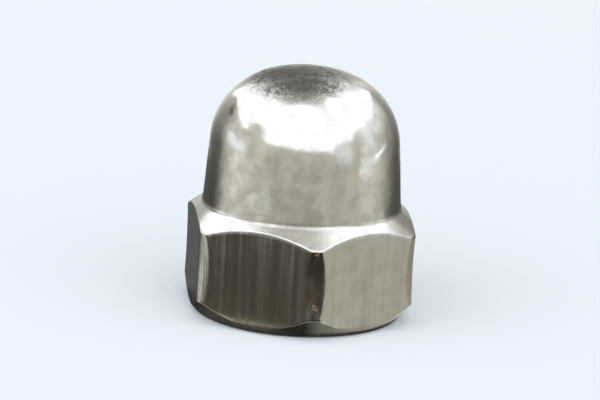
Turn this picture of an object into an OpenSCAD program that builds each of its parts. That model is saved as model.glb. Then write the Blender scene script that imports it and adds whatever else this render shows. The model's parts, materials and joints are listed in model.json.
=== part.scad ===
// High-domed cap nut, M12 x 1.75, forged in one piece, then drilled and tapped from below.
// The origin is on the axis in the bearing face, and +Z runs up the axis to the crown.
// Two corners of the hexagon lie on the Y axis, and two of its flats face +X and -X.

/* [Hexagon] */
// Width across the flats
across_flats = 19; // [18:0.5:22]
// Height of the dome's foot above the bearing face
foot_h = 9.7; // [8:0.1:12]
// How far a corner falls short of the sharp hexagon at its two ends
corner_cut = 0.27; // [0.1:0.01:0.6]
// How much further the corner draws in half way up, where the forging die fills last
corner_waist = 0.22; // [0.05:0.01:0.4]
// Slope of the chamfer between the dome's foot and the flats, from the horizontal
upper_slope = 38; // [20:1:45]
// Diameter of the flat bearing face
bearing_d = 18.2; // [16:0.1:18.8]
// Slope of the chamfer between the bearing face and the flats, from the horizontal
lower_slope = 50; // [30:1:60]

/* [Dome] */
// Height over all
overall_h = 21.8; // [20.5:0.1:26]
// Diameter where the wall of the dome would meet the upper chamfer without its fillet
dome_d = 17.5; // [15:0.1:17.8]
// Lean of the wall towards the axis, in degrees
wall_taper = 4; // [1:0.5:8]
// Radius of the crown, a shallow sphere
crown_r = 14; // [11:0.5:20]
// Radius of the shoulder, which runs from the wall into the crown
shoulder_r = 6.5; // [4:0.25:8]
// Radius of the fillet at the foot of the wall
foot_fillet = 0.5; // [0.2:0.1:1]

/* [Threaded bore] */
// Nominal diameter of the thread
thread_d = 12; // [10:0.5:12.5]
// Pitch of the thread
thread_pitch = 1.75; // [1:0.25:2]
// Depth of the tapping drill's full diameter
bore_depth = 16; // [10:0.5:16.5]
// Angle of the drill's point
drill_point = 120; // [110:1:140]
// Diameter of the countersink at the mouth of the bore
countersink_d = 13; // [12.5:0.1:14]
// Angle of the countersink
countersink_angle = 120; // [90:1:130]

/* [Hidden] */

$fn = 96;
// Widest gap left between an arc of the section and the chords drawn for it
arc_gap = 0.004;
// How far a cutter reaches past the face that it cuts
overrun = 1;

foot_r = dome_d / 2;
bearing_r = bearing_d / 2;
sharp_corner_r = across_flats / sqrt(3);
corner_r = sharp_corner_r - corner_cut;

// Heights of the two chamfers at a radius
function upper_chamfer(r) = foot_h - (r - foot_r) * tan(upper_slope);
function lower_chamfer(r) = (r - bearing_r) * tan(lower_slope);

// The waist is one arc between the two chamfers, which it meets at corner_r: its radius
// follows from its chord and its depth
half_chord = (upper_chamfer(corner_r) - lower_chamfer(corner_r)) / 2;
waist_r = (half_chord ^ 2 + corner_waist ^ 2) / (2 * corner_waist);
waist_centre = [corner_r - corner_waist + waist_r, lower_chamfer(corner_r) + half_chord];

// Directions in the profile: out of the wall, up the wall, and out of the upper chamfer
wall_out = [cos(wall_taper), sin(wall_taper)];
wall_up = [-sin(wall_taper), cos(wall_taper)];
chamfer_out = [sin(upper_slope), cos(upper_slope)];
foot = [foot_r, foot_h];

// The fillet touches the wall and the chamfer from outside
fillet_centre = foot + foot_fillet * (wall_out + chamfer_out) / (1 + wall_out * chamfer_out);

// The shoulder touches the wall and the crown from inside. Its centre lies shoulder_r inside
// the wall and crown_r - shoulder_r from the crown's centre, which a quadratic in the way up
// along the wall solves.
crown_centre = [0, overall_h - crown_r];
shoulder_start = foot - shoulder_r * wall_out - crown_centre;
along = shoulder_start * wall_up;
way_up = sqrt(along ^ 2 - shoulder_start * shoulder_start + (crown_r - shoulder_r) ^ 2) - along;
shoulder_centre = crown_centre + shoulder_start + way_up * wall_up;
crown_edge = atan2(shoulder_centre.y - crown_centre.y, shoulder_centre.x);

bore_r = (thread_d - thread_pitch) / 2;
mouth_r = countersink_d / 2;
countersink_depth = (mouth_r - bore_r) / tan(countersink_angle / 2);
drill_tip = bore_depth + bore_r / tan(drill_point / 2);

// Points along an arc, both ends included; first = 1 leaves out the starting point
function arc(centre, r, from, to, first = 0) =
    let (steps = max(2, ceil(abs(to - from) / (2 * acos(1 - arc_gap / r)))))
    [for (i = [first:steps]) let (angle = from + (to - from) * i / steps)
        centre + r * [cos(angle), sin(angle)]];

// Right half of the blank's section: bearing face, chamfers, corner, wall, shoulder and crown.
// Its chamfers run past the corner, and the circle of the waist trims them there.
module blank_section() {
    trimmed_r = corner_r + overrun;
    difference() {
        polygon(concat(
            [[0, 0], [bearing_r, 0]],
            [[trimmed_r, lower_chamfer(trimmed_r)], [trimmed_r, upper_chamfer(trimmed_r)]],
            arc(fillet_centre, foot_fillet, 270 - upper_slope, 180 + wall_taper),
            arc(shoulder_centre, shoulder_r, wall_taper, crown_edge),
            arc(crown_centre, crown_r, crown_edge, 90, first = 1)
        ));
        translate(waist_centre) circle(r = waist_r);
    }
}

// The six flats, taller than the blank at both ends
module hexagon() {
    translate([0, 0, -overrun]) rotate(30)
        cylinder(r = sharp_corner_r, h = overall_h + 2 * overrun, $fn = 6);
}

// The tapping drill's bore with its point, and the countersink at its mouth
module bore() {
    rotate_extrude() polygon([
        [0, -overrun],
        [mouth_r + overrun * tan(countersink_angle / 2), -overrun],
        [bore_r, countersink_depth],
        [bore_r, bore_depth],
        [0, drill_tip]
    ]);
}

module cap_nut() {
    color([0.64, 0.63, 0.58]) difference() {
        intersection() {
            rotate_extrude() blank_section();
            hexagon();
        }
        bore();
    }
}

cap_nut();
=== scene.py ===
"""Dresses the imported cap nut: its steel skin with the thread, and the studio round it.

The file is laid out as an add-on and is run as a script.
"""

import json
import math

import bpy
from bpy.props import FloatProperty, FloatVectorProperty, IntProperty, PointerProperty
from mathutils import Matrix, Vector


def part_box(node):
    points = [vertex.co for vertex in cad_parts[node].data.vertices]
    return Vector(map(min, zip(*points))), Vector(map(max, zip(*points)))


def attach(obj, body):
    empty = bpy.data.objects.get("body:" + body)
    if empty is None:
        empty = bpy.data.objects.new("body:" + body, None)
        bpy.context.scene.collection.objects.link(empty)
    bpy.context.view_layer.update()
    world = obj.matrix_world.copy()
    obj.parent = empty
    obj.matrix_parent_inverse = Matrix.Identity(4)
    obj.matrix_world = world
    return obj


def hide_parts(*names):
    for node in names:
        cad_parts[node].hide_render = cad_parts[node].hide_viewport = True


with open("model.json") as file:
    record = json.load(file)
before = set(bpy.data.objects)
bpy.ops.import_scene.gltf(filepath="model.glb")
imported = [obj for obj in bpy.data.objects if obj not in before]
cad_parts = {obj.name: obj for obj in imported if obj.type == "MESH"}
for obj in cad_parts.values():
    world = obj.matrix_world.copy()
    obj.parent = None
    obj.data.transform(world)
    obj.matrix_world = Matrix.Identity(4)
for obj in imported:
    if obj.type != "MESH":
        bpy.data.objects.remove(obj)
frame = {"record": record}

bl_info = {
    "name": "Cap nut",
    "version": (1, 0, 0),
    "blender": (4, 5, 0),
    "location": "View3D > Sidebar > Cap nut",
    "description": "Builds a high-domed cap nut with its thread, and a small studio for it",
    "category": "Object",
}

MM = 0.001
FRAME_NODE = "cap_nut"
FRAME_LOW, FRAME_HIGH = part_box(FRAME_NODE)
THREAD_MOUNT = next(m for m in frame["record"]["mounts"] if m["name"] == "thread")
SIDES = 6
SECTOR = 2 * math.pi / SIDES
QUARTER = math.pi / 2

# Kinds of node that are used all over
MATH = "ShaderNodeMath"
WHOLE_MATH = "FunctionNodeIntegerMath"
SPREAD = "ShaderNodeMapRange"


def linear(hex_colour):
    """An sRGB hex colour as the linear RGB that colour sockets take."""
    channels = [int(hex_colour[i : i + 2], 16) / 255 for i in (0, 2, 4)]
    return tuple(c / 12.92 if c <= 0.04045 else ((c + 0.055) / 1.055) ** 2.4 for c in channels)


def add(tree, kind, inputs=(), operation=None, **settings):
    """Adds a node with its settings and links, and returns it. inputs are given in the order of
    the sockets, or by their name or number. Each is a value, a socket that feeds it, or a node
    whose first output does."""
    node = tree.nodes.new(kind)
    if operation:
        node.operation = operation
    for name, value in settings.items():
        setattr(node, name, value)
    for key, value in inputs.items() if isinstance(inputs, dict) else enumerate(inputs):
        if isinstance(value, bpy.types.Node):
            value = value.outputs[0]
        if isinstance(value, bpy.types.NodeSocket):
            tree.links.new(value, node.inputs[key])
        else:
            node.inputs[key].default_value = value
    return node


def per_mm(size):
    """Scale of a noise whose features are this many millimetres wide."""
    return 1 / (size * MM)


def place_object(name, data):
    """An object of a mesh, a lamp or a camera, in the scene."""
    item = bpy.data.objects.new(name, data)
    bpy.context.collection.objects.link(item)
    return item


def length(name, description, default_mm):
    """A length property, in metres, from its default in millimetres."""
    return FloatProperty(
        name=name, description=description, default=default_mm * MM, unit="LENGTH", precision=5
    )


def angle(name, description, default_deg):
    """An angle property, in radians, from its default in degrees."""
    return FloatProperty(
        name=name, description=description, default=math.radians(default_deg), unit="ROTATION"
    )


def colour(name, description, hex_colour):
    """A colour property, kept linear, from its default as an sRGB hex value."""
    return FloatVectorProperty(
        name=name, description=description, default=linear(hex_colour), subtype="COLOR", size=3
    )


def number(name, description, default, most=1.0):
    """A plain number property, from nothing up to most."""
    return FloatProperty(
        name=name, description=description, default=default, min=0, max=most, subtype="FACTOR"
    )


class CapNutSizes(bpy.types.PropertyGroup):
    """Sizes of the nut. Those that the frame tells are read from it."""

    across_flats: length(
        "Across flats", "Width between two flats", (FRAME_HIGH.x - FRAME_LOW.x) / MM
    )
    corner_circle: length(
        "Corner circle", "Diameter over the ends of the corners", (FRAME_HIGH.y - FRAME_LOW.y) / MM
    )
    overall_height: length("Height", "Height over all", (FRAME_HIGH.z - FRAME_LOW.z) / MM)
    foot_height: length("Foot height", "Height of the dome's foot over the bearing face", 9.7)
    corner_waist: length("Corner waist", "How far a corner draws in half way up", 0.22)
    upper_slope: angle("Upper slope", "Slope of the chamfer above the flats", 38)
    lower_slope: angle("Lower slope", "Slope of the chamfer below the flats", 50)
    bearing_diameter: length("Bearing face", "Diameter of the flat bearing face", 18.2)
    dome_diameter: length("Dome", "Diameter of the dome at its foot", 17.5)
    wall_taper: angle("Wall taper", "Lean of the dome's wall towards the axis", 4)
    crown_radius: length("Crown radius", "Radius of the shallow sphere on top", 14)
    shoulder_radius: length("Shoulder radius", "Radius between the wall and the crown", 6.5)
    foot_fillet: length("Foot fillet", "Radius of the fillet at the foot of the wall", 0.5)
    edge_round: length("Edge rounding", "Radius of the worn edges round the flats", 0.17)
    grain_radius: length("Grain", "Radius within which the crown may keep the die's grain", 6.1)
    corner_blend: length("Corner blend", "Width over which a flat runs into its corner", 0.08)
    thread_core: length(
        "Thread core", "Diameter over the crests of the thread", 2 * THREAD_MOUNT["dims"]["r_mm"]
    )
    thread_diameter: length("Thread", "Diameter over the roots of the thread", 12)
    pitch: length("Pitch", "Rise of the thread in one turn, right-hand", 1.75)
    bore_depth: length("Bore depth", "Depth of the tapping drill's full diameter", 16)
    full_thread: length("Full thread", "Depth at which the tap's lead starts", 13.5)
    drill_point: angle("Drill point", "Angle of the drill's point", 120)
    mouth_diameter: length("Mouth", "Diameter of the countersink", 13)
    countersink: angle("Countersink", "Angle of the countersink", 120)
    unevenness: length("Unevenness", "How far forging leaves the dome off its true form", 0.02)
    columns: IntProperty(
        name="Columns", description="Columns of faces over one sixth of the nut", default=48, min=12
    )


class CapNutFinish(bpy.types.PropertyGroup):
    """Colours and gloss of the steel."""

    steel: colour("Steel", "Bright stainless steel", "C6C3B3")
    dull_steel: colour("Dull steel", "Where the tumbling has left a duller skin", "A9A698")
    pits: colour("Pits", "Pits of the die's grain on the crown", "5F5D55")
    # The scale colour is painted shade: it darkens the crease at the dome's foot, on the front
    scale: colour("Scale", "Forging scale left in the crease of the dome's foot", "857E6E")
    rust: colour("Rust", "Specks of iron left by the tools, gone brown", "774B22")
    dome_roughness: number("Dome", "Roughness of the tumbled dome", 0.13)
    crown_roughness: number("Crown", "Roughness of the grainy crown", 0.2)
    flat_roughness: number("Flats", "Roughness of the drawn flats", 0.16)


class CapNutStudio(bpy.types.PropertyGroup):
    """Camera, floor and lamps."""

    azimuth: angle("Azimuth", "Camera's place round the nut, from the front corner", -8.6)
    elevation: angle("Elevation", "Camera's height over the horizon", 14.9)
    roll: angle("Roll", "Camera's turn about its own line of sight", 3.2)
    distance: length("Distance", "From the camera to the point it looks at", 348)
    aim_height: length("Aim height", "Height of the point that the camera looks at", 9.87)
    aim_aside: length("Aim aside", "How far that point lies to the right of the axis", -0.16)
    focal_length: FloatProperty(
        name="Focal length",
        description="Focal length of the lens, in millimetres",
        default=237,
        unit="CAMERA",
    )
    floor_colour: colour("Floor", "Pale cool paper", "EEF6FD")
    floor_radius: length("Floor radius", "Radius of the round paper floor", 600)
    sky: number("Sky", "Share of the floor's light that comes from all round", 0.97)
    key: number("Key lamp", "Share of the floor's light from the key lamp", 0.04)
    tent: number("Tent", "Brightness of the light tent in the steel", 2.65, most=10.0)


# --- Section -----------------------------------------------------------------------------------

# Steps over each stretch of the section
STEPS = {
    "crown": 26, "shoulder": 26, "wall": 14, "fillet": 7, "upper chamfer": 9, "flat": 34,
    "lower chamfer": 7, "edge": 5, "bearing face": 6, "crest": 2, "flank": 4, "root": 1,
    "drill point": 8,
}

# Finish of a row, as its shares of the die's grain, of drawing and of facing
TUMBLED, WORN_EDGE, DRAWN, FACED = (0, 0, 0), (0, 0.3, 0), (0, 1, 0), (0, 0, 1)

# How uneven forging leaves a row: the dome is free-formed, and the hexagon is held by the die
DOME_FORGED, FILLET_FORGED, HEXAGON_FORGED = 1, 0.6, 0.2


class Section:
    """Rows of the nut's section, from the crown to the tip of the bore. A row lies at (radius,
    height) plus e times (reach, rise), where e is how far the hexagon reaches at that angle."""

    def __init__(self, s):
        self.places, self.slides, self.cuts, self.finishes = [], [], [], []
        self.upper_slope = math.tan(s.upper_slope)
        self.lower_slope = math.tan(s.lower_slope)
        self.upper_offset = s.foot_height + s.dome_diameter / 2 * self.upper_slope
        self.lower_offset = s.bearing_diameter / 2 * self.lower_slope

    def add(self, place, top=0, bottom=0, corner=1, turn=0, groove=0, forged=0, finish=TUMBLED):
        """top and bottom are how much of the row hangs on the upper and the lower edge of the
        flats, and place is measured from there. corner is the radius that the hexagon keeps
        within, turn the row's climb in one turn, and groove its share of the thread's depth."""
        height = place[1] + top * self.upper_offset - bottom * self.lower_offset
        self.places.append((place[0], 0, height))
        rise = bottom * self.lower_slope - top * self.upper_slope
        self.slides.append((top + bottom, rise, corner))
        self.cuts.append((turn, groove, forged))
        self.finishes.append(finish)


def arc(centre, radius, start, end, steps, first=0):
    """Points along an arc; first=1 leaves out the starting point."""
    for i in range(first, steps + 1):
        turn = start + (end - start) * i / steps
        yield centre + radius * Vector((math.cos(turn), math.sin(turn)))


def shares(steps):
    """Shares of a stretch at its inner steps, both ends left out."""
    return [i / steps for i in range(1, steps)]


def add_dome(section, s):
    """Crown, shoulder, wall and the fillet at its foot. Returns the fillet's end, where the
    upper chamfer starts."""
    foot = Vector((s.dome_diameter / 2, s.foot_height))
    wall_out = Vector((math.cos(s.wall_taper), math.sin(s.wall_taper)))
    wall_up = Vector((-wall_out.y, wall_out.x))
    chamfer_out = Vector((math.sin(s.upper_slope), math.cos(s.upper_slope)))

    # The shoulder touches the wall and the crown from inside, as in the solid
    crown = Vector((0, s.overall_height - s.crown_radius))
    start = foot - s.shoulder_radius * wall_out - crown
    along = start.dot(wall_up)
    gap = s.crown_radius - s.shoulder_radius
    way_up = math.sqrt(along**2 - start.length_squared + gap**2) - along
    shoulder = crown + start + way_up * wall_up
    crown_edge = math.atan2(shoulder.y - crown.y, shoulder.x)
    fillet = foot + s.foot_fillet * (wall_out + chamfer_out) / (1 + wall_out.dot(chamfer_out))

    # The die's grain fades out over a band about its radius
    band = 1.4 * MM
    dome = [*arc(crown, s.crown_radius, QUARTER, crown_edge, STEPS["crown"])]
    dome += arc(shoulder, s.shoulder_radius, crown_edge, s.wall_taper, STEPS["shoulder"], 1)
    for point in dome:
        grain = min(1, max(0, (s.grain_radius + band / 2 - point.x) / band))
        section.add(point, forged=DOME_FORGED, finish=(grain, 0, 0))
    wall_top = shoulder + s.shoulder_radius * wall_out
    wall_foot = fillet - s.foot_fillet * wall_out
    for t in shares(STEPS["wall"]):
        section.add(wall_top.lerp(wall_foot, t), forged=DOME_FORGED)
    fillet_end = math.pi + QUARTER - s.upper_slope
    for point in arc(fillet, s.foot_fillet, math.pi + s.wall_taper, fillet_end, STEPS["fillet"]):
        section.add(point, forged=FILLET_FORGED)
    return point


def add_hexagon(section, s, chamfer_top):
    """Upper chamfer and flats. Each edge of the flats is an arc between its chamfer and the
    upright flat. Returns the end of the lower edge, where the lower chamfer starts."""
    edge = s.edge_round
    corner = s.corner_circle / 2
    upper_turn = QUARTER - s.upper_slope
    lower_turn = QUARTER - s.lower_slope
    upper_centre = Vector((-edge, -edge * math.tan(upper_turn / 2)))
    lower_centre = Vector((-edge, edge * math.tan(lower_turn / 2)))
    upper_edge = [*arc(upper_centre, edge, upper_turn, 0, STEPS["edge"])]
    lower_edge = [*arc(lower_centre, edge, 0, -lower_turn, STEPS["edge"])]
    for t in shares(STEPS["upper chamfer"]):
        forged = FILLET_FORGED + (HEXAGON_FORGED - FILLET_FORGED) * t
        section.add(chamfer_top.lerp(upper_edge[0], t), top=t, corner=corner, forged=forged)
    for point in upper_edge:
        section.add(point, top=1, corner=corner, forged=HEXAGON_FORGED, finish=WORN_EDGE)
    for t in shares(STEPS["flat"]):
        place = upper_edge[-1].lerp(lower_edge[0], t)
        waisted = corner - s.corner_waist * (1 - (2 * t - 1) ** 2)
        section.add(place, 1 - t, t, corner=waisted, forged=HEXAGON_FORGED, finish=DRAWN)
    for point in lower_edge:
        section.add(point, bottom=1, corner=corner, forged=HEXAGON_FORGED, finish=WORN_EDGE)
    return point


def add_bearing_face(section, s, chamfer_top):
    """Lower chamfer, the rounded edge of the bearing face, and the face up to the countersink."""
    edge = s.edge_round
    centre = Vector((s.bearing_diameter / 2 - edge * math.tan(s.lower_slope / 2), edge))
    face_edge = [*arc(centre, edge, s.lower_slope - QUARTER, -QUARTER, STEPS["edge"])]
    for t in shares(STEPS["lower chamfer"]):
        place = chamfer_top.lerp(face_edge[0], t)
        section.add(place, bottom=1 - t, corner=s.corner_circle / 2, forged=HEXAGON_FORGED)
    for point in face_edge:
        section.add(point, finish=FACED)
    mouth = Vector((s.mouth_diameter / 2, 0))
    for t in shares(STEPS["bearing face"]):
        section.add(face_edge[-1].lerp(mouth, t), finish=FACED)


def add_bore(section, s):
    """The threaded bore and the drill's point. The thread's rows climb one pitch in one turn, so
    the first row starts one pitch low, and each row meets the row of the next turn where it
    closes."""
    core_r = s.thread_core / 2
    # Flanks at 60 degrees to each other, and roots an eighth of the pitch wide
    root = s.pitch / 8
    flank = (s.thread_diameter / 2 - core_r) * math.tan(math.radians(30))
    crest = s.pitch - root - 2 * flank
    # Each stretch has its run, its groove at the start and at the end, and its steps
    stretches = (
        (crest, 0, 0, STEPS["crest"]),
        (flank, 0, 1, STEPS["flank"]),
        (root, 1, 1, STEPS["root"]),
        (flank, 1, 0, STEPS["flank"]),
    )
    for turn in range(math.ceil(s.bore_depth / s.pitch) + 1):
        height = (turn - 1) * s.pitch
        for run, start_groove, end_groove, steps in stretches:
            for i in range(steps):
                t = i / steps
                groove = start_groove + (end_groove - start_groove) * t
                section.add((core_r, height + run * t), turn=s.pitch, groove=groove, finish=FACED)
            height += run
    section.add((core_r, height), turn=s.pitch, finish=FACED)
    bore_end = Vector((core_r, s.bore_depth))
    tip = Vector((0, s.bore_depth + core_r / math.tan(s.drill_point / 2)))
    for t in (*shares(STEPS["drill point"]), 1):
        section.add(bore_end.lerp(tip, t), finish=FACED)


def nut_section(s):
    """The rows of the whole nut."""
    section = Section(s)
    upper_chamfer_top = add_dome(section, s)
    lower_chamfer_top = add_hexagon(section, s, upper_chamfer_top)
    add_bearing_face(section, s, lower_chamfer_top)
    add_bore(section, s)
    return section


def section_mesh(section):
    """The rows as a line of vertices that carry their rules as attributes."""
    count = len(section.places)
    mesh = bpy.data.meshes.new("nut_section")
    mesh.from_pydata(section.places, [(i, i + 1) for i in range(count - 1)], [])
    tables = {"slide": section.slides, "cut": section.cuts, "finish": section.finishes}
    for name, table in tables.items():
        layer = mesh.attributes.new(name, "FLOAT_VECTOR", "POINT")
        layer.data.foreach_set("vector", [value for row in table for value in row])
    return mesh


# --- Geometry Nodes ----------------------------------------------------------------------------

# Sockets for the sweep's inputs
SOCKETS = {float: "NodeSocketFloat", int: "NodeSocketInt", bpy.types.Material: "NodeSocketMaterial"}


def row_rules(tree, section, row):
    """Place and rules of a row, each a vector read from the section."""
    sources = {"place": add(tree, "GeometryNodeInputPosition")}
    attribute = "GeometryNodeInputNamedAttribute"
    for name in ("slide", "cut", "finish"):
        sources[name] = add(tree, attribute, (name,), data_type="FLOAT_VECTOR")
    rules = {}
    for name, source in sources.items():
        inputs = {"Geometry": section, "Value": source, "Index": row}
        rules[name] = add(tree, "GeometryNodeSampleIndex", inputs, data_type="FLOAT_VECTOR")
    return rules


def column_angles(tree, column, columns):
    """A column's angle from the middle of its flat, and from the middle of the first flat. Half
    of the columns lie close to the corners, where they share 14 degrees."""
    sector = add(tree, WHOLE_MATH, (column, columns), "DIVIDE_FLOOR")
    within = add(tree, WHOLE_MATH, (column, columns), "MODULO")
    way = add(tree, MATH, (within, columns), "DIVIDE")
    way = add(tree, MATH, (way, 2, -1), "MULTIPLY_ADD")
    middle = add(tree, "ShaderNodeClamp", (way, -0.5, 0.5))
    close = math.radians(14)
    outer = add(tree, MATH, (way, close), "MULTIPLY")
    wide = SECTOR - 2 * close
    bend = add(tree, MATH, (middle, wide, outer), "MULTIPLY_ADD")
    turned = add(tree, MATH, (sector, SECTOR, bend), "MULTIPLY_ADD")
    return bend, turned


def threaded_bore(tree, given, place, cut, turned):
    """Radius and height on the thread's rows. They climb, stay between the bearing face and the
    end of the bore, start softly at the mouth, run out over the tap's lead, and give way to the
    countersink."""
    climb = add(tree, MATH, (turned, 0.5 / math.pi, 0.5 / SIDES), "MULTIPLY_ADD")
    climbed = add(tree, MATH, (cut["X"], climb, place["Z"]), "MULTIPLY_ADD")
    level = add(tree, "ShaderNodeClamp", (climbed, 0.0, given["Bore depth"]))
    groove = cut["Y"]
    lead_in = (level, 0.8 * MM, 1.8 * MM, 0.0, 1.0)
    run_out = (level, given["Full thread"], given["Bore depth"], 1.0, 0.0)
    for inputs in (lead_in, run_out):
        deep = add(tree, SPREAD, inputs, interpolation_type="SMOOTHSTEP")
        groove = add(tree, MATH, (groove, deep), "MULTIPLY")
    thread = (groove, given["Thread depth"], place["X"])
    cone = (level, given["Countersink slope"], given["Mouth radius"])
    walls = [add(tree, MATH, wall, "MULTIPLY_ADD") for wall in (thread, cone)]
    return add(tree, MATH, walls, "MAXIMUM"), level


def forged_skin(tree, given, skin):
    """The skin, with the dome left a little uneven."""
    inputs = {"Scale": given["Unevenness scale"], "Detail": 1.0, "Roughness": 0.4}
    lumps = add(tree, "ShaderNodeTexNoise", inputs)
    lumps = add(tree, MATH, (lumps, 2, -1), "MULTIPLY_ADD")
    forged = add(tree, "GeometryNodeInputNamedAttribute", ("forged",), data_type="FLOAT")
    amount = add(tree, MATH, (forged, given["Unevenness"]), "MULTIPLY")
    amount = add(tree, MATH, (lumps, amount), "MULTIPLY")
    normal = add(tree, "GeometryNodeInputNormal")
    shift = add(tree, "ShaderNodeVectorMath", {0: normal, "Scale": amount}, "SCALE")
    return add(tree, "GeometryNodeSetPosition", {"Geometry": skin, "Offset": shift})


def smooth_skin(tree, skin):
    """The skin, smooth apart from edges of 28 degrees and more. These are the thread's, which are
    sharp on the real nut."""
    bend = add(tree, "GeometryNodeInputMeshEdgeAngle").outputs["Unsigned Angle"]
    soft = add(tree, MATH, (bend, math.radians(28)), "LESS_THAN")
    for smooth, domain in ((True, "FACE"), (soft, "EDGE")):
        inputs = {"Geometry": skin, "Shade Smooth": smooth}
        skin = add(tree, "GeometryNodeSetShadeSmooth", inputs, domain=domain)
    return skin


def sweep_tree(values):
    """Carries the section once round the axis. At each angle a row slides out as far as the
    hexagon reaches there, and the thread's rows climb with the angle. The tree has an input for
    each of the values, under the same name."""
    tree = bpy.data.node_groups.new("Sweep section round the nut", "GeometryNodeTree")
    tree.is_modifier = True
    tree.interface.new_socket("Geometry", in_out="INPUT", socket_type="NodeSocketGeometry")
    for name, value in values.items():
        tree.interface.new_socket(name, in_out="INPUT", socket_type=SOCKETS[type(value)])
    tree.interface.new_socket("Geometry", in_out="OUTPUT", socket_type="NodeSocketGeometry")
    given = add(tree, "NodeGroupInput").outputs
    section, columns = given["Geometry"], given["Columns"]

    # One grid: a row of vertices for each row of the section, a column for each angle
    rows = add(tree, "GeometryNodeAttributeDomainSize", (section,)).outputs["Point Count"]
    stride = add(tree, WHOLE_MATH, (columns, SIDES), "MULTIPLY")
    stride = add(tree, WHOLE_MATH, (stride, 1), "ADD")
    grid = add(tree, "GeometryNodeMeshGrid", {"Vertices X": rows, "Vertices Y": stride})
    index = add(tree, "GeometryNodeInputIndex")
    row = add(tree, WHOLE_MATH, (index, stride), "DIVIDE_FLOOR")
    column = add(tree, WHOLE_MATH, (index, stride), "MODULO")
    rules = row_rules(tree, section, row)
    place, slide, cut = (
        add(tree, "ShaderNodeSeparateXYZ", (rules[name],)).outputs
        for name in ("place", "slide", "cut")
    )
    bend, turned = column_angles(tree, column, columns)

    # How far the hexagon reaches at this angle, held in by the corner's own radius
    cosine = add(tree, MATH, (bend,), "COSINE")
    flat = add(tree, MATH, (given["Half width"], cosine), "DIVIDE")
    reach = add(tree, MATH, (flat, slide["Z"], given["Corner blend"]), "SMOOTH_MIN")
    outside = [
        add(tree, MATH, inputs, "MULTIPLY_ADD")
        for inputs in ((slide["X"], reach, place["X"]), (slide["Y"], reach, place["Z"]))
    ]

    # Each vertex to its place, with the row's finish kept for the material
    inside = threaded_bore(tree, given, place, cut, turned)
    threaded = add(tree, MATH, (cut["X"], 0.0), "GREATER_THAN")
    radius, height = (
        add(tree, "GeometryNodeSwitch", (threaded, plain, bored), input_type="FLOAT")
        for plain, bored in zip(outside, inside)
    )
    spoke = add(tree, "ShaderNodeCombineXYZ", {"X": radius, "Z": height})
    inputs = {"Vector": spoke, "Angle": turned}
    point = add(tree, "ShaderNodeVectorRotate", inputs, rotation_type="Z_AXIS")
    skin = add(tree, "GeometryNodeSetPosition", {"Geometry": grid, "Position": point})
    kept = (("finish", rules["finish"], "FLOAT_VECTOR"), ("forged", cut["Z"], "FLOAT"))
    for name, value, kind in kept:
        inputs = {"Geometry": skin, "Name": name, "Value": value}
        skin = add(tree, "GeometryNodeStoreNamedAttribute", inputs, data_type=kind)
    # The sweep's two ends meet, and its rows close at the crown and at the tip of the bore
    inputs = {"Geometry": skin, "Distance": 0.001 * MM}
    skin = add(tree, "GeometryNodeMergeByDistance", inputs)
    skin = smooth_skin(tree, forged_skin(tree, given, skin))
    skin = add(tree, "GeometryNodeRealizeInstances", (skin,))
    inputs = {"Geometry": skin, "Material": given["Steel"]}
    skin = add(tree, "GeometryNodeSetMaterial", inputs)
    add(tree, "NodeGroupOutput", (skin,))
    return tree


def swept_nut(sizes, steel):
    """The steel skin as a plain mesh object, named apart from the frame's own node."""
    values = {
        "Half width": sizes.across_flats / 2,
        "Corner blend": sizes.corner_blend,
        "Columns": sizes.columns,
        "Thread depth": (sizes.thread_diameter - sizes.thread_core) / 2,
        "Full thread": sizes.full_thread,
        "Bore depth": sizes.bore_depth,
        "Mouth radius": sizes.mouth_diameter / 2,
        "Countersink slope": -math.tan(sizes.countersink / 2),
        "Unevenness": sizes.unevenness,
        "Unevenness scale": per_mm(3.5),
        "Steel": steel,
    }
    piece = place_object("steel_cap_nut", section_mesh(nut_section(sizes)))
    modifier = piece.modifiers.new("Sweep", "NODES")
    modifier.node_group = sweep_tree(values)
    for item in modifier.node_group.interface.items_tree:
        if item.in_out == "INPUT" and item.name in values:
            modifier[item.identifier] = values[item.name]
    evaluated = piece.evaluated_get(bpy.context.evaluated_depsgraph_get())
    mesh = bpy.data.meshes.new_from_object(evaluated)
    if not mesh.polygons:
        raise RuntimeError("the sweep gave no faces")
    # The grid brings an empty slot, which goes, so that the steel is the only one
    while len(mesh.materials) > 1 and mesh.materials[0] is None:
        mesh.materials.pop(index=0)
    piece.modifiers.remove(modifier)
    piece.data = mesh
    mesh.name = piece.name
    return piece


# --- Materials ---------------------------------------------------------------------------------


def new_material(name):
    """A material with an empty node tree, and that tree."""
    material = bpy.data.materials.new(name)
    material.use_nodes = True
    material.node_tree.nodes.clear()
    return material, material.node_tree


def spot_share(tree, place, centre, reach, most):
    """A number that falls from most at the centre of a round spot to nothing at its reach, both
    in millimetres."""
    spot = add(tree, "ShaderNodeVectorMath", (place, Vector(centre) * MM), "DISTANCE")
    distance = spot.outputs["Value"]
    return add(tree, SPREAD, (distance, reach * MM, 0.0, 0.0, most))


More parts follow.
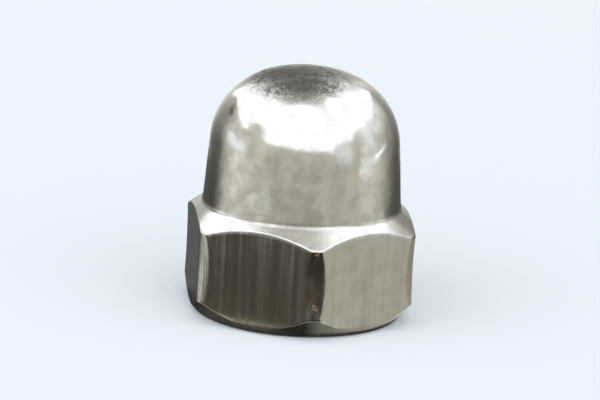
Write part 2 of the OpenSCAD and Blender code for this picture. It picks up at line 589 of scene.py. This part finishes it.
def steel_patterns(tree, place, distance):
    """Noise patterns of the steel: the size of their features in millimetres, and detail."""
    # The lines of drawing run up the flats, so their pattern is stretched in height
    upright = add(tree, "ShaderNodeMapping", {"Vector": place, "Scale": (1, 1, 0.03)})
    patterns = {
        # Grain of the die on the crown, about a fifth of a millimetre, in clusters
        "grain": (0.22, 2.0, place),
        "clusters": (0.7, 2.0, place),
        # Dents of tumbling, a millimetre or two wide and very shallow
        "dents": (1.5, 3.0, place),
        # Lines of drawing, coarser than the real ones, which would not show
        "lines": (0.4, 3.0, upright),
        # Duller patches, a millimetre or two across
        "patches": (1.3, 4.0, place),
        # Grains of rust
        "speckle": (0.3, 3.0, place),
    }
    noises = {}
    for name, (size, detail, where) in patterns.items():
        inputs = {"Vector": where, "Scale": per_mm(size), "Detail": detail}
        noises[name] = add(tree, "ShaderNodeTexNoise", inputs)
    # Rings of facing, drawn a fifth of a millimetre apart
    inputs = {"W": distance, "Scale": per_mm(0.2), "Detail": 1.0}
    noises["rings"] = add(tree, "ShaderNodeTexNoise", inputs, noise_dimensions="1D")
    return noises


def crease_shade(tree, place, patches, sizes):
    """Share of painted shade in the crease at the dome's foot, on the front: a darker, duller
    colour that dims the crease's reflection there.
    """
    up = add(tree, "ShaderNodeSeparateXYZ", (place,)).outputs["Z"]
    off = add(tree, MATH, (up, sizes.foot_height), "SUBTRACT")
    off = add(tree, MATH, (off,), "ABSOLUTE")
    crease = add(tree, SPREAD, (off, 0.15 * MM, 0.55 * MM, 1, 0))
    front = spot_share(tree, place, (-2.1, -8.6, sizes.foot_height / MM), 4.2, 0.9)
    scale = add(tree, MATH, (crease, front), "MULTIPLY")
    patchy = add(tree, SPREAD, (patches, 0.3, 0.5, 0.6, 1))
    return add(tree, MATH, (scale, patchy), "MULTIPLY")


def corner_rust(tree, place, distance, noises, sizes):
    """Shares of rust and of brown film on the front corner, where tools have left iron."""
    corner = sizes.corner_circle / 2
    # Specks at the corner's two ends: height and reach in millimetres
    rusty = 0
    for height, reach in ((3.15, 0.6), (7.95, 0.5)):
        near = spot_share(tree, place, (0.05, -corner / MM, height), reach, 0.6)
        grown = add(tree, MATH, (noises["speckle"], near), "ADD")
        grown = add(tree, SPREAD, (grown, 0.84, 0.92, 0, 1))
        rusty = add(tree, MATH, (rusty, grown), "MAXIMUM")
    # A thin film between them, on the corner only
    near = spot_share(tree, place, (-0.7, -10.6, 3.9), 2.4, 1.1)
    limits = (corner - 0.36 * MM, corner - 0.26 * MM)
    outermost = add(tree, SPREAD, (distance, *limits, 0, 1))
    film = add(tree, MATH, (near, outermost), "MULTIPLY")
    patchy = add(tree, SPREAD, (noises["patches"], 0.4, 0.6, 0.2, 1))
    film = add(tree, MATH, (film, patchy), "MULTIPLY", use_clamp=True)
    return rusty, film


def tumbled_stainless_steel(finish, sizes):
    """Stainless steel, cold forged and tumbled bright. The dome is glossy and faintly dented,
    the crown keeps the die's grain, the flats show the lines of drawing, and the bearing face
    shows the rings of facing."""
    material, tree = new_material("Tumbled stainless steel")
    place = add(tree, "ShaderNodeTexCoord").outputs["Object"]
    level = add(tree, "ShaderNodeVectorMath", (place, (1, 1, 0)), "MULTIPLY")
    distance = add(tree, "ShaderNodeVectorMath", (level,), "LENGTH").outputs["Value"]
    noises = steel_patterns(tree, place, distance)
    zones = add(tree, "ShaderNodeAttribute", attribute_name="finish").outputs["Vector"]
    grainy, drawn, faced = add(tree, "ShaderNodeSeparateXYZ", (zones,)).outputs
    # The patch of grain lies off the crown's middle, towards the front and the left
    patch = spot_share(tree, place, (-1.1, -1.4, 21.4), 5.3, 4.0)
    grainy = add(tree, MATH, (grainy, patch), "MULTIPLY", use_clamp=True)

    # Height of the patterns together, in millimetres
    height = add(tree, MATH, (noises["dents"], 0.018), "MULTIPLY")
    reliefs = (("grain", grainy, 0.03), ("lines", drawn, 0.015), ("rings", faced, 0.006))
    for name, where, depth in reliefs:
        relief = add(tree, MATH, (noises[name], where), "MULTIPLY")
        height = add(tree, MATH, (relief, depth, height), "MULTIPLY_ADD")
    bump = add(tree, "ShaderNodeBump", {"Height": height, "Distance": MM, "Strength": 1.0})

    # The crown is pitted, the flats are streaked and the bearing face is ringed, each in its zone
    # and where its pattern is high
    clustered = add(tree, MATH, (noises["clusters"], 1.5, noises["grain"]), "MULTIPLY_ADD")
    marks = []
    for where, *inputs in (
        (grainy, clustered, 1.08, 1.42, 0.1, 1),
        (drawn, noises["lines"], 0.42, 0.68, 0, 1),
        (faced, noises["rings"], 0.4, 0.6, 0, 1),
    ):
        marks.append(add(tree, MATH, (add(tree, SPREAD, inputs), where), "MULTIPLY"))
    pitted, streaked, ringed = marks

    # The skin is dull in the patches, less so where it is drawn or faced, and in streaks and rings
    dull = add(tree, SPREAD, (noises["patches"], 0.38, 0.62, 0, 1))
    cut = add(tree, MATH, (drawn, faced), "ADD")
    uncut = add(tree, MATH, (cut, -0.4, 1.0), "MULTIPLY_ADD")
    dull = add(tree, MATH, (dull, uncut), "MULTIPLY")
    for lined in (streaked, ringed):
        dull = add(tree, MATH, (lined, 0.65, dull), "MULTIPLY_ADD")
    # Painted shade in the crease at the dome's foot, on the front
    scale = crease_shade(tree, place, noises["patches"], sizes)
    rusty, film = corner_rust(tree, place, distance, noises, sizes)

    # Colours, one over the other, each with its share
    dulled = add(tree, MATH, (dull, 0.7), "MULTIPLY")
    darkened = add(tree, MATH, (pitted, 0.85), "MULTIPLY")
    filmed = add(tree, MATH, (film, 0.8), "MULTIPLY")
    browned = add(tree, MATH, (rusty, filmed), "MAXIMUM")
    skin = (*finish.steel, 1)
    for amount, over in (
        (dulled, finish.dull_steel),
        (darkened, finish.pits),
        # scale is the painted shade in the crease at the dome's foot
        (scale, finish.scale),
        (browned, finish.rust),
    ):
        inputs = {"Factor": amount, 6: skin, 7: (*over, 1)}
        skin = add(tree, "ShaderNodeMix", inputs, data_type="RGBA").outputs[2]

    # What each finish and mark adds to the roughness of the dome
    roughness = finish.dome_roughness
    for where, gain in (
        (grainy, finish.crown_roughness - finish.dome_roughness),
        (drawn, finish.flat_roughness - finish.dome_roughness),
        (dull, 0.05),
        (pitted, 0.15),
        (streaked, 0.065),
        # scale is the painted shade in the crease, which is also rougher
        (scale, 0.22),
        (rusty, 0.5),
    ):
        roughness = add(tree, MATH, (where, gain, roughness), "MULTIPLY_ADD")

    # Rust is no metal and hardly glossy, and the film hides a little of the metal
    thin = add(tree, MATH, (film, 0.2), "MULTIPLY")
    covered = add(tree, MATH, (rusty, thin), "MAXIMUM")
    metallic = add(tree, MATH, (1.0, covered), "SUBTRACT")
    gloss = add(tree, MATH, (rusty, -0.4, 0.5), "MULTIPLY_ADD")
    inputs = {
        "Base Color": skin,
        "Metallic": metallic,
        "Specular IOR Level": gloss,
        "Roughness": roughness,
        "Normal": bump,
    }
    shader = add(tree, "ShaderNodeBsdfPrincipled", inputs)
    add(tree, "ShaderNodeOutputMaterial", {"Surface": shader})
    return material


def matt_paper(studio):
    """Uncoated paper, pale and cool, without gloss. From below it lets the camera through."""
    material, tree = new_material("Matt paper")
    paper = add(tree, "ShaderNodeBsdfDiffuse", ((*studio.floor_colour, 1), 1.0))
    clear = add(tree, "ShaderNodeBsdfTransparent")
    below = add(tree, "ShaderNodeNewGeometry").outputs["Backfacing"]
    sheet = add(tree, "ShaderNodeMixShader", (below, paper, clear))
    add(tree, "ShaderNodeOutputMaterial", {"Surface": sheet})
    return material


def card_face():
    """Studio cards as the steel sees them: white cloth lit from behind, grey paper, black felt, and
    dark sheets of painted shadow on the floor, as bright as each card's glow says. Paper has the
    colour of its object, and brighter cloth is cooler."""
    material, tree = new_material("Card face")
    glow = add(tree, "ShaderNodeAttribute", attribute_name="glow").outputs["Fac"]
    paper = add(tree, "ShaderNodeObjectInfo").outputs["Color"]
    cloth = add(tree, SPREAD, (glow, 0.85, 1.7))
    inputs = {"Factor": cloth, 6: paper, 7: (*linear("E5ECFF"), 1)}
    tint = add(tree, "ShaderNodeMix", inputs, data_type="RGBA").outputs[2]
    face = add(tree, "ShaderNodeEmission", {"Color": tint, "Strength": glow})
    add(tree, "ShaderNodeOutputMaterial", {"Surface": face})
    return material


# --- Studio ------------------------------------------------------------------------------------


def towards(studio, azimuth, elevation=0.0):
    """Unit vector at an azimuth in degrees, counted to the right from the camera's side."""
    turn = studio.azimuth + math.radians(azimuth) - QUARTER
    lift = math.radians(elevation)
    flat = math.cos(lift)
    return Vector((flat * math.cos(turn), flat * math.sin(turn), math.sin(lift)))


def span(low, high, steps):
    """Evenly spaced numbers, both ends included."""
    return [low + (high - low) * i / steps for i in range(steps + 1)]


def between(stations, place):
    """The value at a place, in straight lines between (place, value) stations."""
    for (start, low), (end, high) in zip(stations, stations[1:]):
        if place <= end:
            return low + (high - low) * (place - start) / (end - start)
    return high


def hang_card(name, rows, face, tint="FFFFFF"):
    """A card through rows of (point, glow), with the points in millimetres. It shows in the steel
    and nowhere else, and it lights and shades nothing."""
    wide = len(rows[0])
    corners = [corner for row in rows for corner in row]
    faces = [
        (i * wide + j, i * wide + j + 1, (i + 1) * wide + j + 1, (i + 1) * wide + j)
        for i in range(len(rows) - 1)
        for j in range(wide - 1)
    ]
    mesh = bpy.data.meshes.new(name)
    mesh.from_pydata([point * MM for point, _ in corners], [], faces)
    glow = mesh.attributes.new("glow", "FLOAT", "POINT")
    glow.data.foreach_set("value", [brightness for _, brightness in corners])
    mesh.materials.append(face)
    card = place_object(name, mesh)
    card.color = (*linear(tint), 1)
    for kind in ("camera", "diffuse", "transmission", "volume_scatter", "shadow"):
        setattr(card, "visible_" + kind, False)


# A grey paper ring stands round the nut, inside the light tent. Azimuth in degrees; brightness
# at its foot, half way up and at its upper edge; height of that edge in millimetres
RING_RADIUS = 60
RING = (
    (-180, 0.9, 1.1, 0.9, 24), (-168, 0.6, 1.1, 0.95, 24), (-156, 0.3, 0.8, 0.85, 25),
    (-145, 0.15, 0.45, 0.8, 30), (-135, 0.1, 0.42, 0.7, 41), (-125, 0.07, 0.38, 0.55, 44),
    (-115, 0.08, 0.42, 0.6, 45), (-105, 0.4, 0.95, 0.85, 43), (-95, 0.85, 1.3, 0.95, 40),
    (-85, 1.2, 1.35, 0.95, 37), (-75, 1.1, 1.25, 0.85, 36), (-65, 0.95, 0.95, 0.9, 36),
    (-55, 0.75, 0.98, 0.95, 33), (-45, 0.62, 0.91, 0.95, 29), (-30, 0.56, 0.84, 0.9, 28),
    (-15, 0.56, 0.84, 0.9, 27), (0, 0.62, 0.8, 0.9, 26), (15, 0.65, 0.78, 0.85, 26),
    (25, 0.7, 0.78, 0.85, 26), (35, 0.66, 0.66, 0.9, 19), (45, 0.7, 0.62, 0.7, 11),
    (52, 0.72, 0.78, 0.8, 12), (57, 0.74, 0.78, 0.95, 34), (65, 0.74, 0.68, 1.05, 46),
    (75, 0.75, 1.5, 1.6, 50), (85, 0.82, 1.5, 2.2, 50), (95, 0.8, 1.1, 2.0, 50),
    (105, 0.55, 0.78, 2.2, 51), (113, 0.34, 0.62, 2.1, 52), (122, 0.18, 0.55, 1.7, 52),
    (135, 0.1, 0.32, 1.2, 47.5), (147, 0.1, 0.33, 0.6, 44), (158, 0.35, 0.65, 0.75, 32),
    (168, 0.8, 1.1, 0.9, 24), (180, 0.9, 1.1, 0.9, 24),
)

# A grey sheet hangs over the back of the tent and comes forward under its roof. Each row has
# its way towards the camera and its height in millimetres, and then, from left to right, how
# far to the right and how bright it is
LID = (
    (28, 240, (
        (-88, 2.2), (-68, 1.7), (-38, 0.95), (-8, 0.78), (8, 0.7), (28, 0.8), (50, 1.15), (70, 1.9),
    )),
    (-6, 240, (
        (-104, 2.3), (-88, 1.75), (-64, 0.9), (-20, 0.75), (8, 0.78), (28, 0.95), (48, 1.45),
        (66, 2.25),
    )),
    (-32, 240, (
        (-110, 2.3), (-88, 1.45), (-66, 0.4), (-20, 0.55), (8, 0.5), (30, 0.5), (46, 1.0),
        (62, 2.2),
    )),
    (-70, 240, (
        (-130, 2.2), (-98, 1.3), (-72, 0.3), (-38, 0.12), (0, 0.2), (38, 0.15), (55, 0.75),
        (73, 2.15),
    )),
    (-130, 240, (
        (-180, 2.0), (-118, 1.2), (-80, 0.45), (-46, 0.18), (0, 0.18), (36, 0.2), (60, 1.0),
        (90, 2.2),
    )),
    (-240, 240, (
        (-200, 2.1), (-142, 1.3), (-94, 0.5), (-40, 0.2), (10, 0.2), (44, 0.45), (70, 1.8),
        (140, 1.8),
    )),
    (-240, 180, (
        (-220, 2.0), (-150, 1.6), (-100, 0.55), (-40, 0.2), (10, 0.3), (40, 0.55), (60, 1.6),
        (140, 1.7),
    )),
    (-240, 107, (
        (-200, 0.6), (-150, 1.3), (-105, 0.5), (-40, 0.08), (0, 0.18), (40, 0.5), (75, 1.1),
        (120, 0.6),
    )),
    (-240, 60, (
        (-200, 0.5), (-140, 0.9), (-105, 0.8), (-60, 0.25), (-20, 0.25), (20, 0.45), (60, 0.95),
        (110, 0.4),
    )),
    (-240, 0, (
        (-200, 0.4), (-110, 0.7), (-75, 1.2), (-20, 1.1), (20, 1.1), (50, 1.0), (80, 0.6),
        (120, 0.35),
    )),
)

# Narrow cards in front of the ring: radius in millimetres, and stations of azimuth, the heights
# of the two edges, and brightness
STRIPS = {
    "right_strip": (59, (
        (64, 7.2, 8.2, 2.0), (70, 6.7, 9.2, 2.6), (80, 6.8, 9.6, 2.6), (92, 7.8, 11.2, 2.6),
        (102, 10.6, 14.4, 2.6), (108, 14.8, 17.4, 2.2),
    )),
    "left_strip": (59, (
        (-62, 3.6, 3.9, 1.4), (-55, 3.3, 5.0, 1.6), (-38, 3.3, 5.0, 1.5), (-30, 3.8, 4.1, 1.2),
    )),
    "left_light": (58, (
        (-106, 18, 21, 1.3), (-102, 15, 24, 1.8), (-95, 11, 23, 2.2), (-84, 9, 20, 2.2),
        (-76, 11, 20, 1.8), (-71, 12, 16, 1.3),
    )),
    "left_dark_card": (59, (
        (-128, 34, 36, 0.16), (-124, 32, 38, 0.16), (-115, 31, 38, 0.16), (-112, 33, 36, 0.16),
    )),
    "left_grey_card": (62, (
        (-80, 30, 46, 2.3), (-75, 30, 52, 1.3), (-68, 28, 56, 0.9), (-60, 26, 52, 1.1),
        (-53, 28, 46, 1.3), (-47, 28, 42, 2.2),
    )),
    "right_sheet": (59, (
        (33, 20, 26, 1.4), (36, 14, 34, 1.6), (41, 10.5, 36, 1.75), (50, 10.5, 36, 1.5),
        (55, 11.5, 36, 1.0), (58, 20, 35, 0.95),
    )),
    "front_flag": (30, (
        (0, -0.5, 5, 0.03), (15, -0.5, 5, 0.03), (31, -0.5, 5, 0.03),
    )),
}

# Cards on the floor, each a hair above the one before: colour, and corners as (right, towards the
# camera) in millimetres with brightness
FLOOR_CARDS = {
    "floor_card_left": ("FAF6F0", (
        (-9.5, 4.6, 1.2), (-60, -14, 1.2), (-62, 8, 0.9), (-9.5, 6.4, 0.9),
    )),
    "floor_card_right": ("FFFEFA", (
        (7, 12, 0.68), (29, 50, 0.72), (56, -18, 0.5), (14, -5, 0.46),
    )),
    "floor_card_far_right": ("FFFAF0", (
        (14, -5, 0.4), (56, -18, 0.4), (60, -34, 0.4), (9, -18, 0.4),
    )),
    # Painted shadow: two dark sheets on the floor at the left and the front, which the flats and
    # the front corner reflect as the nut's own shadow
    "floor_flag_left": ("FFF2D6", (
        (-9.5, 5.7, 0.085), (-80, -4, 0.04), (0, 100, 0.03), (0, 13, 0.08),
    )),
    "floor_flag_front": ("FFE0A6", (
        (0, 13, 0.035), (0, 80, 0.017), (40, 70, 0.017), (7, 12, 0.035),
    )),
    "floor_card_left_edge": ("FFF6E8", (
        (-10.4, 5.3, 1.0), (-12.6, 7.6, 1.0), (-2.6, 13, 0.15), (-2, 11.3, 0.15),
    )),
    "floor_flag_far_left": ("F4F8FA", (
        (-9.5, 4.9, 0.12), (-58, -10, 0.1), (-34, -52, 0.12), (-3, -16, 0.12),
    )),
    "floor_flag_back_left": ("F6FAF6", (
        (-24, -12, 0.12), (-72, -14, 0.1), (-12, -82, 0.12), (-9, -34, 0.12),
    )),
    "floor_flag_back_right": ("FAFCF8", (
        (26, -12, 0.12), (72, -14, 0.1), (12, -82, 0.12), (9, -34, 0.12),
    )),
}

# Painted shadow right under the nut, which the lower chamfer sees: a sheet that is dark where the
# nut's contact shadow falls, and lighter, as painted light, where the floor beyond is lit. Azimuth
# and brightness. Its rings have their radius in millimetres and the most that they glow, so its
# inner edge is black
UNDER_SHADE_GLOW = (
    (-180, 0.03), (-78, 0.03), (-64, 0.05), (-52, 0.09), (-20, 0.11), (-12, 0.08), (-5, 0.04),
    (5, 0.03), (10, 0.14), (15, 0.27), (24, 0.36), (42, 0.52), (55, 0.6), (90, 0.62), (120, 0.36),
    (150, 0.05), (180, 0.03),
)
UNDER_SHADE_RINGS = ((9.05, 0.03), (9.35, 0.07), (9.6, 1.0), (11.4, 1.0))

TENT_RADIUS = 420
CARD_GAP = 0.01


def hang_ring(name, stations, radius, face):
    """A card bent round the nut. Each station has an azimuth, and (height, glow) up the card."""
    studio = bpy.context.scene.cap_nut_studio
    columns = []
    for azimuth, levels in stations:
        foot = towards(studio, azimuth) * radius
        columns.append([(foot + Vector((0, 0, height)), glow) for height, glow in levels])
    hang_card(name, list(zip(*columns)), face)


def build_cards(studio):
    """The light tent, its grey ring and lid, and the cards, as the steel sees them."""
    # The tent is a low skirt round the ring and a roof, which ends a hair short of its pole
    face = card_face()
    tent = studio.tent
    turns = span(-180, 180, 72)
    skirt = [(a, ((2, tent), (60, tent))) for a in span(-150, 150, 40)]
    hang_ring("light_skirt", skirt, RING_RADIUS + 4, face)
    roof = [
        [(towards(studio, a, elevation) * TENT_RADIUS, tent) for a in turns]
        for elevation in span(18, 89.9, 12)
    ]
    hang_card("light_tent", roof, face)
    ring = [
        (a, ((-0.5, foot), (top / 2, middle), (top, upper))) for a, foot, middle, upper, top in RING
    ]
    hang_ring("grey_ring", ring, RING_RADIUS, face)
    for name, (radius, strip) in STRIPS.items():
        stations = [(a, ((low, glow), (high, glow))) for a, low, high, glow in strip]
        hang_ring(name, stations, radius, face)
    right, front, above = towards(studio, 90), towards(studio, 0), Vector((0, 0, 1))
    lid = [[(right * x + front * y + above * z, glow) for x, glow in row] for y, z, row in LID]
    hang_card("lid", lid, face)
    lift = CARD_GAP
    for name, (tint, corners) in FLOOR_CARDS.items():
        a, b, c, d = ((right * x + front * y + above * lift, glow) for x, y, glow in corners)
        hang_card(name, [[a, b], [d, c]], face, tint)
        lift += CARD_GAP
    # The painted contact shadow under the nut, as the lower chamfer sees it
    under = []
    for radius, most in UNDER_SHADE_RINGS:
        ring = [(towards(studio, a) * radius + above * lift, between(UNDER_SHADE_GLOW, a)) for a in turns]
        under.append([(point, min(most, glow)) for point, glow in ring])
    hang_card("floor_flag_under", under, face)


def build_floor(studio, sizes):
    """A round sheet of paper, a hair under the nut, so that no face lies in another. It has a
    hole where the nut stands, so that light reaches the bearing face and the bore from below."""
    rim = 96
    drop = 0.02 * MM
    turns = [2 * math.pi * i / rim for i in range(rim)]
    points = [
        (radius * math.cos(turn), radius * math.sin(turn), -drop)
        for radius in (sizes.bearing_diameter / 2 - sizes.edge_round, studio.floor_radius)
        for turn in turns
    ]
    faces = [(i, rim + i, rim + (i + 1) % rim, (i + 1) % rim) for i in range(rim)]
    mesh = bpy.data.meshes.new("paper_floor")
    mesh.from_pydata(points, [], faces)
    mesh.materials.append(matt_paper(studio))
    place_object("paper_floor", mesh)


def build_world(studio):
    """The paper's colour all round, as camera and steel see it, and a plain white sky as light."""
    world = bpy.data.worlds.new("Studio")
    bpy.context.scene.world = world
    world.use_nodes = True
    tree = world.node_tree
    tree.nodes.clear()
    rays = add(tree, "ShaderNodeLightPath").outputs
    seen = rays["Is Camera Ray"]
    for kind in ("Is Glossy Ray", "Is Transmission Ray"):
        seen = add(tree, MATH, (seen, rays[kind]), "MAXIMUM")
    sky = add(tree, "ShaderNodeBackground", ((1, 1, 1, 1), studio.sky))
    paper = add(tree, "ShaderNodeBackground", ((*studio.floor_colour, 1), 1.0))
    both = add(tree, "ShaderNodeMixShader", (seen, sky, paper))
    add(tree, "ShaderNodeOutputWorld", {"Surface": both})
    # The sky is even, so no light needs to be aimed from it
    world.cycles.sampling_method = "NONE"


def build_key_lamp(studio):
    """A soft lamp above, to the left, which gives the nut its faint shadow."""
    side, distance = 150 * MM, 300 * MM
    direction = towards(studio, -60, 52)
    lamp = bpy.data.lights.new("key_lamp", "AREA")
    lamp.shape = "SQUARE"
    lamp.size = side
    # Light on the floor is pi for a white sheet to look white; a square lamp that faces the nut
    # gives power * cos / (pi * distance squared)
    lamp.energy = studio.key * math.pi * math.pi * distance**2 / direction.z
    holder = place_object("key_lamp", lamp)
    holder.location = direction * distance
    holder.rotation_mode = "QUATERNION"
    holder.rotation_quaternion = direction.to_track_quat("Z", "Y")
    holder.visible_glossy = False
    holder.visible_camera = False


def build_camera(studio):
    """The camera, on its line of sight and rolled about it."""
    back = towards(studio, 0, math.degrees(studio.elevation))
    aim = Vector((0, 0, studio.aim_height)) + towards(studio, 90) * studio.aim_aside
    data = bpy.data.cameras.new("camera")
    data.lens = studio.focal_length
    data.sensor_width = 36
    data.clip_start, data.clip_end = 10 * MM, 3
    camera = place_object("camera", data)
    place = Matrix.Translation(aim + back * studio.distance)
    look = back.to_track_quat("Z", "Y").to_matrix().to_4x4()
    camera.matrix_world = place @ look @ Matrix.Rotation(studio.roll, 4, "Z")
    bpy.context.scene.camera = camera


# --- Operators and panel -----------------------------------------------------------------------


class OBJECT_OT_cap_nut(bpy.types.Operator):
    """Build the nut's steel skin with its thread"""

    bl_idname = "object.cap_nut"
    bl_label = "Cap nut"

    def execute(self, context):
        scene = context.scene
        steel = tumbled_stainless_steel(scene.cap_nut_finish, scene.cap_nut_sizes)
        piece = swept_nut(scene.cap_nut_sizes, steel)
        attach(piece, "root")
        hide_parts(FRAME_NODE)
        return {"FINISHED"}


class SCENE_OT_cap_nut_studio(bpy.types.Operator):
    """Build the floor, cards, lamp and camera"""

    bl_idname = "scene.cap_nut_studio"
    bl_label = "Studio"

    def execute(self, context):
        studio = context.scene.cap_nut_studio
        context.scene.view_settings.view_transform = "Standard"
        build_world(studio)
        build_floor(studio, context.scene.cap_nut_sizes)
        build_cards(studio)
        build_key_lamp(studio)
        build_camera(studio)
        return {"FINISHED"}


GROUPS = {
    "cap_nut_sizes": CapNutSizes,
    "cap_nut_finish": CapNutFinish,
    "cap_nut_studio": CapNutStudio,
}
OPERATORS = (OBJECT_OT_cap_nut, SCENE_OT_cap_nut_studio)


class VIEW3D_PT_cap_nut(bpy.types.Panel):
    """The nut's sizes, finish and studio"""

    bl_label = "Cap nut"
    bl_space_type = "VIEW_3D"
    bl_region_type = "UI"
    bl_category = "Cap nut"

    def draw(self, context):
        for name, kind in GROUPS.items():
            box = self.layout.box()
            for key in kind.__annotations__:
                box.prop(getattr(context.scene, name), key)
        for operator in OPERATORS:
            self.layout.operator(operator.bl_idname)


CLASSES = (*GROUPS.values(), *OPERATORS, VIEW3D_PT_cap_nut)


def register():
    for item in CLASSES:
        bpy.utils.register_class(item)
    for name, kind in GROUPS.items():
        setattr(bpy.types.Scene, name, PointerProperty(type=kind))


def unregister():
    for name in GROUPS:
        delattr(bpy.types.Scene, name)
    for item in reversed(CLASSES):
        bpy.utils.unregister_class(item)


def main():
    """Builds everything in order."""
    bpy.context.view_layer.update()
    register()
    bpy.ops.object.cap_nut()
    bpy.ops.scene.cap_nut_studio()


if __name__ == "__main__":
    main()
